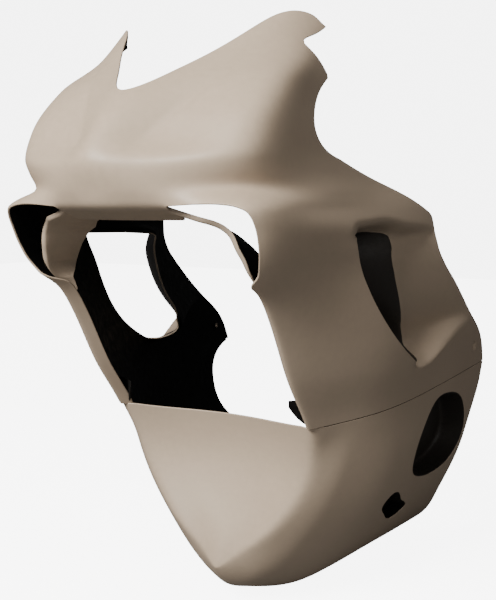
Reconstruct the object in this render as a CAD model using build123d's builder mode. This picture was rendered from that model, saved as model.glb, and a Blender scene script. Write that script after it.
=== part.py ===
"""Race fairing for a sports motorcycle, in bare gel-coated glass fibre.

Two thin mouldings: an upper one with the nose, the two air intakes and the side panels,
and a belly pan with a closed front dam, whose lip laps inside the upper one. Millimetres.
X = 0 is the machine's centre plane, +X the rider's left, -Y forward and +Z up. The mouldings
are drawn about the moulding tools' own zero and moved at the end, so that the origin is the
middle of the fairing's box.
"""
from build123d import *
from bisect import bisect_right
import os

import numpy as np

os.makedirs("parts", exist_ok=True)

# Laminate and joint between the mouldings
wall = 3.0
lap_gap = 0.3
lap_height = 28.0
joggle_depth = 8.0
joggle_skin = 1.5
lap_nose = -96.0
lap_tail = 285.0

# Seam between the mouldings, seen from the side as (y, z)
seam_front = (-140.0, -160.0)
seam_middle = (120.0, -143.0)
seam_rear = (369.0, -127.0)

# Overall reach of the moulding tools past the trimmed edges
tool_rear = 392.0
tool_top = 402.0
tool_foot = -190.0

# Nose, screen opening and lip
lip_height = 144.0
lip_half_width = 80.0
lip_return = 46.0
lip_drop = 15.0

# Air intakes
duct_length = 62.0
front_edge_half = 160.0

# Return flange along the front edge of each side panel
flange_in = 12.0
flange_back = 17.0

# Heat vents
pocket_depth = 26.0

# Belly pan
pan_rear_foot = 316.0
keel_depth = -466.0

# Fasteners' seats
seat_diameter = 17.0
seat_bore = 6.5
seat_rim = 3.0
seat_thickness = 7.0
seat_flush = 2.0

# Distance from the tools' own zero to the middle of the fairing's box
shift_back = 2.5
shift_up = 34.5

# Ribs of the upper skin: each row is (z, x, y) on the rider's left
nose_rib = [
    (-190, 0, -235), (-60, 0, -290), (60, 0, -340), (144, 0, -357), (162, 0, -364),
    (195, 0, -374), (240, 0, -346), (284, 0, -301), (340, 0, -218), (402, 0, -120),
]
crease_rib = [
    (-190, 84, -196), (-60, 88, -262), (60, 92, -322), (144, 82, -336), (162, 74, -343),
    (195, 56, -354), (220, 50, -331), (260, 70, -293), (300, 95, -250), (340, 120, -190), (402, 135, -112),
]
corner_rib = [
    (-190, 152, -104), (-150, 158, -124), (-80, 161, -172), (0, 160, -221), (38, 162, -249),
    (54, 168, -276), (78, 181, -288), (110, 187, -301), (142, 183, -315), (152, 176, -305),
    (166, 170, -270), (186, 170, -284), (205, 171, -292), (240, 171, -279), (300, 167, -223),
    (345, 156, -150), (402, 152, -84),
]
flank_rib = [
    (-190, 186, -46), (-150, 191, -58), (-80, 196, -106), (0, 192, -158), (38, 190, -186),
    (62, 194, -214), (90, 205, -228), (120, 209, -240), (146, 203, -236), (168, 193, -210),
    (205, 189, -216), (240, 187, -205), (300, 179, -150), (345, 170, -100), (402, 168, -40),
]
waist_rib = [
    (-190, 200, -20), (-150, 208, -20), (-80, 232, -20), (-40, 240, -20), (0, 243, -20), (60, 242, -20),
    (110, 236, -20), (140, 227, -20), (182, 210, -20), (240, 198, -14), (300, 188, -8), (402, 178, 20),
]
hip_rib = [
    (-190, 235, 130), (-140, 241, 130), (-60, 256, 130), (0, 259, 130), (60, 256, 130),
    (110, 250, 130), (140, 245, 130), (240, 222, 130), (402, 200, 130),
]
tail_rib = [
    (-190, 258, tool_rear), (-100, 266, tool_rear), (0, 270, tool_rear), (110, 264, tool_rear),
    (240, 240, tool_rear), (402, 220, tool_rear),
]
skin_ribs = [nose_rib, crease_rib, corner_rib, flank_rib, waist_rib, hip_rib, tail_rib]
skin_heights = [
    tool_foot, -150, -120, -104, -90, -76, -62, -48, -34, -20, -6, 8, 22, 38, 50, 60, 70, 80, 90, 99,
    108, 117, 126, 136, 146, 156, 166, 178, 192, 206, 225, 250, 280, 310, 345, 375, tool_top,
]
lap_heights = skin_heights[:6]


# Trimmed edge of the upper moulding, seen from the side as (y, z), from the seam's tail forward
side_tail = [seam_rear, (352.0, -90.0), (275.0, -30.0), (193.0, 30.0), (133.0, 90.0), (125.0, 131.0)]
side_top = [(125.0, 131.0), (50.0, 160.0), (-27.0, 182.0), (-100.0, 204.0)]
side_scoop = [(-100.0, 204.0), (-140.0, 218.0), (-158.0, 240.0), (-150.0, 268.0), (-97.0, 311.0)]
side_notch = [(-97.0, 311.0), (-118.0, 334.0), (-134.0, 352.0), (-112.0, 364.0), (-68.0, 386.0)]

# Edges seen from the front as (x, z), on the rider's left
screen_edge = [
    (0.0, 284.0), (18.0, 289.0), (45.0, 310.0), (77.0, 340.0), (102.0, 370.0), (122.0, 391.0),
    (138.0, 397.0),
]
mouth_edge = [
    (80.0, 142.0), (118.0, 147.0), (160.0, 147.0), (182.0, 138.0), (187.0, 118.0), (186.0, 98.0),
    (181.0, 76.0), (172.0, 58.0), (160.0, 48.0),
]

# Inner wall of the left intake duct, seen from the front as (x, z), and its ends as (y, z)
duct_edge = [
    (78.0, 146.0), (83.0, 135.0), (98.0, 130.0), (116.0, 126.0), (131.0, 119.0), (141.0, 109.0),
    (148.0, 88.0), (153.0, 70.0), (158.0, 57.0), (167.0, 47.0),
]
duct_head = (-340.0, 150.0)
duct_foot = (-268.0, 40.0)

# Rear fasteners' seats
seat_half = 265.0
seat_y = 316.0
seat_z = -94.0

# Heat vent on each side: its edges seen from the side as (y, z), and its floor in plan as (x, y)
vent_front = [(-109.0, 95.0), (-91.0, 60.0), (-65.0, 20.0), (-30.0, -20.0), (21.0, -60.0), (75.0, -89.0)]
vent_top = [(-120.0, 118.0), (-20.0, 124.0), (45.0, 117.0), (125.0, 110.0), (400.0, 90.0)]
vent_shelf = [(-120.0, 60.0), (-30.0, -30.0), (21.0, -72.0), (75.0, -98.0), (112.0, -96.0), (167.0, -70.0),
              (218.0, -50.0), (286.0, -36.0), (400.0, -20.0)]
vent_rear = [(75.0, -89.0), (94.0, -55.0), (72.0, -20.0), (54.0, 15.0), (36.0, 60.0), (23.0, 97.0)]
louvre_line = [(75.0, -89.0), (96.0, -55.0), (74.0, -20.0), (56.0, 15.0), (38.0, 60.0), (25.0, 97.0), (17.0, 108.0)]
louvre_lap = 1.0
louvre_in = 42.0
louvre_forward = 84.0
vent_fade = [(-120.0, 1.0), (50.0, 1.0), (110.0, 0.62), (170.0, 0.24), (240.0, 0.0), (400.0, 0.0)]
vent_edge_land = 5.0
vent_front_rise = 50.0
vent_wall_rise = 15.0
vent_shelf_rise = 34.0

# Ribs of the belly pan: each row is (y, x, z) on the rider's left, from the keel up
keel_rib = [(-150, 0, -382), (-100, 0, -405), (-40, 0, -440), (60, 0, keel_depth), (200, 0, -461), (400, 0, -455)]
floor_rib = [(-150, 6, -380), (-100, 14, -396), (-40, 28, -432), (60, 52, -459), (200, 68, -452), (400, 86, -448)]
bilge_rib = [(-150, 30, -352), (-100, 40, -366), (-40, 68, -404), (60, 105, -426), (200, 134, -422), (400, 160, -423)]
wing_rib = [(-150, 62, -316), (-100, 78, -321), (-40, 117, -346), (60, 161, -359), (200, 189, -357), (400, 208, -362)]
belly_rib = [(-150, 96, -268), (-100, 114, -268), (-40, 158, -282), (60, 203, -287), (200, 223, -289), (400, 235, -292)]
flare_rib = [(-150, 124, -212), (-100, 141, -212), (-40, 184, -215), (60, 221, -219), (200, 239, -221), (400, 251, -226)]
pan_ribs = [keel_rib, floor_rib, bilge_rib, wing_rib, belly_rib, flare_rib]
pan_places = [-150.0 + 13.75 * k for k in range(14)] + [42.5 + 27.5 * k for k in range(14)]

# Dam across the front of the pan: its middle as (height, y), and its sweep forward at the reach
dam_profile = [
    (-90.0, -98.0), (-125.0, -80.0), (-160.0, -65.0), (-195.0, -54.0), (-230.0, -50.0), (-265.0, -55.0),
    (-300.0, -66.0), (-335.0, -81.0), (-370.0, -99.0), (-405.0, -122.0), (-440.0, -150.0), (-475.0, -182.0),
]
dam_reach = 230.0
dam_sweep = 105.0

# Edges of the pan seen from the side as (y, z)
pan_tail = [seam_rear, (360.0, -173.0), (341.0, -226.0), (331.0, -272.0), (318.0, -315.0),
            (pan_rear_foot, -350.0), (338.0, -400.0), (343.0, -475.0)]
oval_edge = [(215.0, -158.0), (160.0, -168.0), (138.0, -215.0), (150.0, -268.0), (205.0, -303.0),
             (275.0, -300.0), (320.0, -250.0), (300.0, -180.0)]
leaf_edge = [(190.0, -328.0), (157.0, -327.0), (143.0, -340.0), (160.0, -366.0), (200.0, -372.0), (222.0, -356.0)]
exhaust_edge = [(372.0, -126.0), (331.0, -138.0), (298.0, -165.0), (291.0, -200.0), (302.0, -240.0), (345.0, -285.0)]


def glide(stations, place):
    """Value at a place on a smooth curve through (place, value) stations, without overshoot."""
    places = [station[0] for station in stations]
    values = [station[1] for station in stations]
    steps = [b - a for a, b in zip(places, places[1:])]
    rates = [(b - a) / step for a, b, step in zip(values, values[1:], steps)]
    slopes = [rates[0]]
    for before, after in zip(rates, rates[1:]):
        slopes.append(0.0 if before * after <= 0 else 2 * before * after / (before + after))
    slopes.append(rates[-1])
    index = min(max(bisect_right(places, place) - 1, 0), len(steps) - 1)
    step = steps[index]
    t = (place - places[index]) / step
    return (
        values[index] * (1 + 2 * t) * (1 - t) ** 2
        + values[index + 1] * t * t * (3 - 2 * t)
        + slopes[index] * step * t * (1 - t) ** 2
        - slopes[index + 1] * step * t * t * (1 - t)
    )


def fair(points, parts):
    """Points on a smooth cubic curve through the given ones, each span in as many parts."""
    knots = np.array(points, float)
    gaps = np.hypot(*np.diff(knots, axis=0).T)
    count = len(knots)
    matrix = np.eye(count)
    right = np.zeros((count, 2))
    for i in range(1, count - 1):
        matrix[i, i - 1:i + 2] = (gaps[i - 1], 2 * (gaps[i - 1] + gaps[i]), gaps[i])
        right[i] = 6 * ((knots[i + 1] - knots[i]) / gaps[i] - (knots[i] - knots[i - 1]) / gaps[i - 1])
    bends = np.linalg.solve(matrix, right)
    result = []
    for i in range(count - 1):
        for k in range(parts):
            b = k / parts
            a = 1 - b
            lift = ((a ** 3 - a) * bends[i] + (b ** 3 - b) * bends[i + 1]) * gaps[i] ** 2 / 6
            result.append(tuple(a * knots[i] + b * knots[i + 1] + lift))
    result.append(tuple(knots[-1]))
    return result


def moved_in(points, inset):
    """The same open curve moved to its inner side by the inset."""
    curve = np.array(points)
    along = np.gradient(curve, axis=0)
    along /= np.hypot(*along.T)[:, None]
    inward = np.column_stack([-along[:, 1], along[:, 0]])
    return [tuple(point) for point in curve + inset * inward]


def eased(share):
    """A share from nought to one, eased in and out."""
    share = min(max(share, 0.0), 1.0)
    return share * share * (3 - 2 * share)


def vent_depth(y, height):
    """How far the heat vent's recess goes in at a place on the side."""
    front = glide([(z, place) for place, z in vent_front[::-1]], height)
    behind = eased((y - front - vent_edge_land) / vent_front_rise)
    under_top = eased((glide(vent_top, y) - height) / vent_wall_rise)
    over_shelf = eased((height - glide(vent_shelf, y)) / vent_shelf_rise)
    return pocket_depth * max(glide(vent_fade, y), 0.0) * behind * under_top * over_shelf


def skin_section(height, inset=0.0):
    """Outline of the upper skin at a height, from the right tail round the nose to the left tail."""
    left = [
        (glide([(z, x) for z, x, y in rib], height), glide([(z, y) for z, x, y in rib], height))
        for rib in skin_ribs
    ]
    right = [(-x, y) for x, y in left[:0:-1]]
    outline = []
    for x, y in fair(right + left, 4):
        depth = vent_depth(y, height) if y > vent_top[0][0] else 0.0
        outline.append((x - depth if x > 0 else x + depth, y))
    return moved_in(outline, inset)


def side_half_width(y, height):
    """Half width of the upper skin at a place on its side."""
    half = [point for point in skin_section(height) if point[0] > 0 and point[1] > -330]
    half = half[len(half) // 5:]
    return float(np.interp(y, [point[1] for point in half], [point[0] for point in half]))


def front_edge_y(height):
    """How far forward the left side panel reaches at its front edge."""
    half = [point for point in skin_section(height) if point[0] > 0 and point[1] < 60.0]
    return float(np.interp(front_edge_half, [x for x, y in half], [y for x, y in half]))


def skin_shell(outer_inset, inner_inset, heights=skin_heights):
    """The upper skin as a thin shell between two insets."""
    with BuildPart() as shell:
        for height in heights:
            outline = skin_section(height, outer_inset)
            lining = skin_section(height, inner_inset)
            with BuildSketch(Plane.XY.offset(height)):
                with BuildLine():
                    Spline(*outline)
                    Line(outline[-1], lining[-1])
                    Spline(*lining[::-1])
                    Line(lining[0], outline[0])
                make_face()
        loft(ruled=True)
    return shell.part


def pan_section(y, inset=0.0):
    """Outline of the belly pan at a place along it, from the right top round the keel to the left top."""
    left = [
        (glide([(s, x) for s, x, z in rib], y), glide([(s, z) for s, x, z in rib], y))
        for rib in pan_ribs
    ]
    left += [(side_half_width(y, z), z) for z in (-150.0, -100.0)]
    right = [(-x, z) for x, z in left[:0:-1]]
    return moved_in(fair(right + left, 3), inset)


def louvre_foot(height):
    """Where the left louvre's floor leaves the side panel at a height, as (x, y)."""
    y = float(np.interp(height, [z for y, z in louvre_line], [y for y, z in louvre_line]))
    return side_half_width(y, height) - louvre_lap, y


def pan_shell(outer_inset, inner_inset):
    """The belly pan's hull as a thin shell between two insets; an inner inset of None fills it."""
    with BuildPart() as shell:
        for y in pan_places:
            outline = [(x, z) for x, z in pan_section(y, outer_inset)]
            with BuildSketch(Plane.XZ.offset(-y)):
                with BuildLine():
                    Spline(*outline)
                    if inner_inset is None:
                        Line(outline[-1], outline[0])
                    else:
                        lining = pan_section(y, inner_inset)
                        Line(outline[-1], lining[-1])
                        Spline(*lining[::-1])
                        Line(lining[0], outline[0])
                make_face()
        loft(ruled=True)
    return shell.part


def ahead_of_dam(shift):
    """Everything in front of the belly pan's dam, whose face is moved back by the shift."""
    with BuildPart() as block:
        for height, y in dam_profile:
            back = y + shift
            with BuildSketch(Plane.XY.offset(height)):
                with BuildLine():
                    ThreePointArc((-dam_reach, back - dam_sweep), (0, back), (dam_reach, back - dam_sweep))
                    Polyline((dam_reach, back - dam_sweep), (dam_reach, -420), (-dam_reach, -420),
                             (-dam_reach, back - dam_sweep))
                make_face()
        loft(ruled=True)
    return block.part


def mirrored(points):
    """Points of a half outline that starts on the centre plane, with their mirror images before it."""
    return [(-x, y) for x, y in points[:0:-1]] + points


def strip(line, thickness):
    """Both edges of a thin strip along a line: the line itself, and the line moved to its left."""
    edge = fair(line, 3)
    return edge, moved_in(edge, thickness)


def seam_band(below, above):
    """A slab that follows the seam, from below it to above it, seen from the side."""
    with BuildPart() as band:
        with BuildSketch(Plane.YZ):
            with BuildLine():
                low = [(y, z - below) for y, z in (seam_front, seam_middle, seam_rear)]
                high = [(y, z + above) for y, z in (seam_front, seam_middle, seam_rear)]
                ThreePointArc(*low)
                Line(low[-1], high[-1])
                ThreePointArc(*high[::-1])
                Line(high[0], low[0])
            make_face()
        extrude(amount=330.0, both=True)
    return band.part


with BuildPart() as left_duct:
    edge, back = strip(duct_edge, wall)
    with BuildSketch(Plane.XZ):
        with BuildLine():
            Spline(*edge)
            Line(edge[-1], back[-1])
            Spline(*back[::-1])
            Line(back[0], edge[0])
        make_face()
    extrude(amount=400.0)
    with BuildSketch(Plane.YZ):
        with BuildLine():
            Polyline(
                duct_head, duct_foot, (duct_foot[0] + duct_length, duct_foot[1]),
                (duct_head[0] + duct_length, duct_head[1]), close=True,
            )
        make_face()
    extrude(amount=400.0, both=True, mode=Mode.INTERSECT)

with BuildPart() as left_flange:
    for height in (47.0, 20.0, -20.0, -60.0, -100.0, -130.0, -154.0):
        edge_y = front_edge_y(height)
        with BuildSketch(Plane.XY.offset(height)):
            with BuildLine():
                Polyline(
                    (front_edge_half + 1.0, edge_y + 1.0),
                    (front_edge_half + 1.0 - flange_in, edge_y + 1.0 + flange_back),
                    (front_edge_half + 3.4 - flange_in, edge_y + 3.2 + flange_back),
                    (front_edge_half + 3.4, edge_y + 4.0),
                    close=True,
                )
            make_face()
    loft(ruled=True)

with BuildPart() as left_louvre:
    for height in (-56.0, -20.0, 15.0, 60.0, 104.0):
        foot_x, foot_y = louvre_foot(height)
        with BuildSketch(Plane.XY.offset(height)):
            with BuildLine():
                Polyline(
                    (foot_x, foot_y + 2.0),
                    (foot_x - louvre_in, foot_y + 2.0 - louvre_forward),
                    (foot_x - louvre_in - wall, foot_y + 2.0 - louvre_forward),
                    (foot_x - wall, foot_y + 4.0),
                    close=True,
                )
            make_face()
    loft(ruled=True)

with BuildPart() as lip_panel:
    for height, back in ((lip_height + 1.0, 1.5), (lip_height - lip_drop, lip_return)):
        depth = wall * lip_return / lip_drop
        with BuildSketch(Plane.XY.offset(height)):
            with BuildLine():
                ThreePointArc((-lip_half_width, back - 336.0), (0.0, back - 356.0), (lip_half_width, back - 336.0))
                Line((lip_half_width, back - 336.0), (lip_half_width, back + depth - 336.0))
                ThreePointArc((lip_half_width, back + depth - 336.0), (0.0, back + depth - 356.0),
                              (-lip_half_width, back + depth - 336.0))
                Line((-lip_half_width, back + depth - 336.0), (-lip_half_width, back - 336.0))
            make_face()
    loft(ruled=True)

with BuildPart() as upper_fairing:
    add(skin_shell(0.0, wall))
    # side outline
    with BuildSketch(Plane.YZ):
        with BuildLine():
            ThreePointArc(seam_front, seam_middle, seam_rear)
            Spline(*side_tail)
            Spline(*side_top)
            Spline(*side_scoop)
            Spline(*side_notch)
            Polyline(side_notch[-1], (-80.0, 402.0), (-450.0, 402.0), (-450.0, -160.0), seam_front)
        make_face()
    extrude(amount=400.0, both=True, mode=Mode.INTERSECT)
    # screen opening
    with BuildSketch(Plane.XZ):
        with BuildLine():
            Spline(*mirrored(screen_edge))
            Polyline(screen_edge[-1], (138.0, 430.0), (-138.0, 430.0), (-138.0, 397.0))
        make_face()
    extrude(amount=500.0, both=True, mode=Mode.SUBTRACT)
    # front opening under the lip, with the intake mouths
    with BuildSketch(Plane.XZ.offset(180.0)):
        with BuildLine():
            Line((-lip_half_width, mouth_edge[0][1]), (lip_half_width, mouth_edge[0][1]))
            Spline(*mouth_edge)
            Polyline(mouth_edge[-1], (front_edge_half, -200.0), (-front_edge_half, -200.0), (-160.0, 48.0))
            Spline(*[(-x, z) for x, z in mouth_edge])
        make_face()
    extrude(amount=300.0, mode=Mode.SUBTRACT)
    with BuildSketch(Plane.XZ):
        Rectangle(2 * front_edge_half, 260.0, align=(Align.CENTER, Align.MAX))
        with Locations((0.0, 60.0)):
            Rectangle(2 * front_edge_half, 60.0, align=(Align.CENTER, Align.MAX))
    extrude(amount=300.0, mode=Mode.SUBTRACT)
    # heat vents
    with BuildSketch(Plane.YZ):
        with BuildLine():
            Spline(*vent_front)
            Spline(*vent_rear)
            Line(vent_rear[-1], vent_front[0])
        make_face()
    extrude(amount=330.0, both=True, mode=Mode.SUBTRACT)
    # inner walls of the intake ducts
    add(left_duct.part)
    add(mirror(left_duct.part, about=Plane.YZ))
    # louvre floors behind the heat vents
    add(left_louvre.part)
    add(mirror(left_louvre.part, about=Plane.YZ))
    # return flanges of the side panels, and the panel under the lip
    add(left_flange.part)
    add(mirror(left_flange.part, about=Plane.YZ))
    add(lip_panel.part)
    # seats for the rear fasteners
    for side in (1, -1):
        with Locations(Location((side * (seat_half - seat_flush), seat_y, seat_z), (0, side * 90, 0))):
            Cylinder(seat_diameter / 2 + seat_rim, seat_thickness, align=(Align.CENTER, Align.CENTER, Align.MAX))
    for side in (1, -1):
        with Locations(Location((side * (seat_half - 2 * seat_flush), seat_y, seat_z), (0, side * 90, 0))):
            Cylinder(seat_bore / 2, 40.0, mode=Mode.SUBTRACT)
            Cone(seat_bore / 2, seat_diameter / 2, 3 * seat_flush, align=(Align.CENTER, Align.CENTER, Align.MIN),
                 mode=Mode.SUBTRACT)

centred = Location((0.0, shift_back, shift_up))
upper_node = upper_fairing.part.moved(centred)
upper_node.label = "upper_fairing"
export_step(upper_node, "parts/upper_fairing.step")

with BuildPart() as lap:
    lining = wall + lap_gap
    add(skin_shell(lining, lining + wall, lap_heights) & seam_band(joggle_depth, lap_height))
    add(skin_shell(joggle_skin, lining + joggle_skin, lap_heights) & seam_band(joggle_depth, -lap_gap))
    with Locations((0.0, lap_nose, -150.0)):
        Box(700.0, 400.0, 300.0, align=(Align.CENTER, Align.MAX, Align.CENTER), mode=Mode.SUBTRACT)
    with Locations((0.0, lap_tail, -150.0)):
        Box(700.0, 200.0, 300.0, align=(Align.CENTER, Align.MIN, Align.CENTER), mode=Mode.SUBTRACT)

pan_space = pan_shell(0.0, None)
dam_block = ahead_of_dam(0.0)

with BuildPart() as belly_pan:
    add(pan_shell(0.0, wall))
    add(pan_space & (ahead_of_dam(wall) - dam_block))
    add(dam_block, mode=Mode.SUBTRACT)
    with BuildSketch(Plane.YZ):
        with BuildLine():
            ThreePointArc(seam_front, seam_middle, seam_rear)
            Spline(*pan_tail)
            Polyline(pan_tail[-1], (pan_tail[-1][0], -500.0), (-200.0, -500.0), (-200.0, -160.0), seam_front)
        make_face()
    extrude(amount=400.0, both=True, mode=Mode.INTERSECT)
    # oval and leaf-shaped openings on the left
    with BuildSketch(Plane.YZ):
        with BuildLine():
            Spline(*oval_edge, periodic=True)
        make_face()
        with BuildLine():
            Spline(*leaf_edge, periodic=True)
        make_face()
    extrude(amount=330.0, mode=Mode.SUBTRACT)
    # exhaust cut-out on the right
    with BuildSketch(Plane.YZ):
        with BuildLine():
            Spline(*exhaust_edge)
            Polyline(exhaust_edge[-1], (430.0, exhaust_edge[-1][1]), (430.0, exhaust_edge[0][1]), exhaust_edge[0])
        make_face()
    extrude(amount=-330.0, mode=Mode.SUBTRACT)
    add(lap.part)

pan_node = belly_pan.part.moved(centred)
pan_node.label = "belly_pan"
export_step(pan_node, "parts/belly_pan.step")
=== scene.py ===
"""Looks of a motorcycle race fairing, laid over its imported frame.

The fairing is two laminate mouldings. Each one is drawn as a fine sheet in the moulding
tools' own millimetres, trimmed, folded where the laminate turns inward, given its thickness
with rounded edges, and then moved into the frame's metres.
"""

import logging
import math
from dataclasses import dataclass, field
from enum import Enum
from functools import cached_property
from typing import Any, Callable, Sequence

import bpy
import numpy as np
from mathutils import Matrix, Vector

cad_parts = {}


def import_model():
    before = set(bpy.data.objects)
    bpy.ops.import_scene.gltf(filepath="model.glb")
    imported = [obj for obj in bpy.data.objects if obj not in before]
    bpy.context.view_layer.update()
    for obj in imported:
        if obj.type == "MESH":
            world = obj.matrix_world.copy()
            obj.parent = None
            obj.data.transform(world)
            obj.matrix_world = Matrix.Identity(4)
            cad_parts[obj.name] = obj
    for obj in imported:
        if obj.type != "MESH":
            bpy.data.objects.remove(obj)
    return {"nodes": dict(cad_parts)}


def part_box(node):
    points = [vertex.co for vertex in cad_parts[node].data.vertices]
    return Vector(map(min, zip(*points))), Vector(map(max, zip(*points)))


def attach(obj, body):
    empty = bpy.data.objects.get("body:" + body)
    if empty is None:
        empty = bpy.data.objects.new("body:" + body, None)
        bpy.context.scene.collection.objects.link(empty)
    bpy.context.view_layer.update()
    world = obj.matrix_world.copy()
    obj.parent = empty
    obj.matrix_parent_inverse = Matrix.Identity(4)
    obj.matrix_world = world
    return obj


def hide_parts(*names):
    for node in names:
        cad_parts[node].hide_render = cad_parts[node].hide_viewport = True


log = logging.getLogger("fairing")

ROOT = "root"
TOOL_SHIFT = (0.0, 2.5, 34.5)
MM_PER_M = 1000.0
WALL = 3.0
RIM_TURNS = (50, 90, 130)
# Where the painted-shade mark of a vent's throat stops rising, and the mark of points that a cut
# leaves alone.
SHADE_REACH = 9.0
UNCUT = 50.0
# As shares of an edge: how near a point has to be to a cut to be moved onto it, and how far a
# point moves in one turn of relaxing.
SNAP = 0.22
PACE = 0.6
TINY = 1e-12
Row = tuple[float, float, float]
Spot = tuple[float, float]
Line = tuple[Spot, ...]
Ribs = tuple[tuple[Row, ...], ...]
Finishes = Sequence[bpy.types.Material]
Socket = bpy.types.NodeSocket


class Face(Enum):
    """Which finish a face of a moulding shows."""

    OUTER = 0
    RIM = 1
    INNER = 2
    # painted shade: a dark copy of the gel coat for the vents' throats and the oval recess
    THIN = 3


class Side(Enum):
    """The rider's side a piece sits on, as the sign of X."""

    LEFT = 1
    RIGHT = -1


# Curves


def glide(places: Sequence[float], values: Sequence[float], at: np.ndarray) -> np.ndarray:
    """Smooth curve through stations, without overshoot.

    Args:
        places: Station positions, rising.
        values: The curve's value at each station.
        at: Places to read.

    Returns:
        The values at those places.
    """
    x, v = np.asarray(places, float), np.asarray(values, float)
    at = np.asarray(at, float)
    step = np.diff(x)
    rate = np.diff(v) / step
    before, after = rate[:-1], rate[1:]
    with np.errstate(divide="ignore", invalid="ignore"):
        mean = 2 * before * after / (before + after)
    slope = np.concatenate([rate[:1], np.where(before * after > 0, mean, 0.0), rate[-1:]])
    i = np.clip(np.searchsorted(x, at, side="right") - 1, 0, len(step) - 1)
    t = (at - x[i]) / step[i]
    return (
        v[i] * (1 + 2 * t) * (1 - t) ** 2
        + v[i + 1] * t * t * (3 - 2 * t)
        + slope[i] * step[i] * t * (1 - t) ** 2
        - slope[i + 1] * step[i] * t * t * (1 - t)
    )


def fair(points: Sequence[Sequence[float]], shares: np.ndarray) -> np.ndarray:
    """Smooth cubic curve through points.

    Args:
        points: The points, in order.
        shares: Places to read; 2.5 is halfway from the third point to the fourth.

    Returns:
        One point for each share.
    """
    knots = np.array(points, float)
    gaps = np.maximum(np.linalg.norm(np.diff(knots, axis=0), axis=1), 1e-6)
    count = len(knots)
    slopes = np.diff(knots, axis=0) / gaps[:, None]
    matrix, right = np.eye(count), np.zeros_like(knots)
    for i in range(1, count - 1):
        matrix[i, i - 1 : i + 2] = gaps[i - 1], 2 * (gaps[i - 1] + gaps[i]), gaps[i]
        right[i] = 6 * (slopes[i] - slopes[i - 1])
    bends = np.linalg.solve(matrix, right)
    i = np.clip(np.floor(shares).astype(int), 0, count - 2)
    b = (shares - i)[:, None]
    a = 1 - b
    lift = ((a**3 - a) * bends[i] + (b**3 - b) * bends[i + 1]) * (gaps[i] ** 2)[:, None] / 6
    return a * knots[i] + b * knots[i + 1] + lift


def drawn(points: Sequence[Spot], parts: int = 8) -> list[Spot]:
    """Points close together on the smooth curve through the given ones."""
    shares = np.linspace(0, len(points) - 1, parts * (len(points) - 1) + 1)
    return [tuple(p) for p in fair(points, shares)]


def ring(points: Sequence[Spot], parts: int = 8) -> list[Spot]:
    """Points close together on the smooth closed curve through the given ones."""
    around = list(points[-3:]) + list(points) + list(points[:3])
    shares = np.linspace(3, 3 + len(points), parts * len(points), endpoint=False)
    return [tuple(p) for p in fair(around, shares)]


def standing(ribs: Ribs, place: float) -> list[Spot]:
    """The two other coordinates of each rib where its first one is the given place."""
    columns = [list(zip(*rib)) for rib in ribs]
    return [(float(glide(s, a, place)), float(glide(s, b, place))) for s, a, b in columns]


def mirrored(left: list[Spot], shares: np.ndarray) -> np.ndarray:
    """Smooth curve through points and, before them, their mirror images.

    Args:
        left: The points on the rider's left, the first on the centre plane.
        shares: Places to read; nought is the first point.

    Returns:
        One point for each share.
    """
    right = [(-x, other) for x, other in left[:0:-1]]
    return fair(right + left, shares + len(left) - 1)


def unit(rows: np.ndarray) -> np.ndarray:
    """Each row scaled to length one."""
    return rows / np.maximum(np.linalg.norm(rows, axis=1), TINY)[:, None]


def eased(share: np.ndarray) -> np.ndarray:
    """A share from nought to one, eased in and out."""
    share = np.clip(share, 0.0, 1.0)
    return share * share * (3 - 2 * share)


def outside(spots: np.ndarray, outline: Sequence[Spot]) -> np.ndarray:
    """Signed distance to a closed outline.

    Args:
        spots: Points to test, one row each.
        outline: The outline's corners.

    Returns:
        The distance of each point, positive outside the outline.
    """
    corners = np.array(outline, float)
    nearest = np.full(len(spots), 1e9)
    within = np.zeros(len(spots), bool)
    for a, b in zip(corners, np.roll(corners, -1, axis=0)):
        along = b - a
        share = np.clip((spots - a) @ along / max(along @ along, TINY), 0, 1)
        nearest = np.minimum(nearest, np.linalg.norm(spots - a - share[:, None] * along, axis=1))
        if a[1] != b[1]:
            crosses = (a[1] > spots[:, 1]) != (b[1] > spots[:, 1])
            within ^= crosses & (spots[:, 0] < along[0] * (spots[:, 1] - a[1]) / along[1] + a[0])
    return np.where(within, -nearest, nearest)


def graded(low: float, high: float, stops: Sequence[float],
           spacing: Callable[[float], float]) -> np.ndarray:
    """Places in a row, at a spacing that may change on the way.

    Args:
        low: The first place.
        high: The last place.
        stops: Places on the way that have to be met.
        spacing: The step wanted at a place.

    Returns:
        The places.
    """
    marks = [low] + [s for s in sorted(stops) if low < s < high] + [high]
    places = [low]
    for a, b in zip(marks, marks[1:]):
        here = [a]
        while here[-1] < b:
            here.append(here[-1] + spacing(here[-1]))
        scale = (b - a) / (here[-1] - a)
        places += [a + (h - a) * scale for h in here[1:]]
    return np.array(places)


# Sheets


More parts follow.
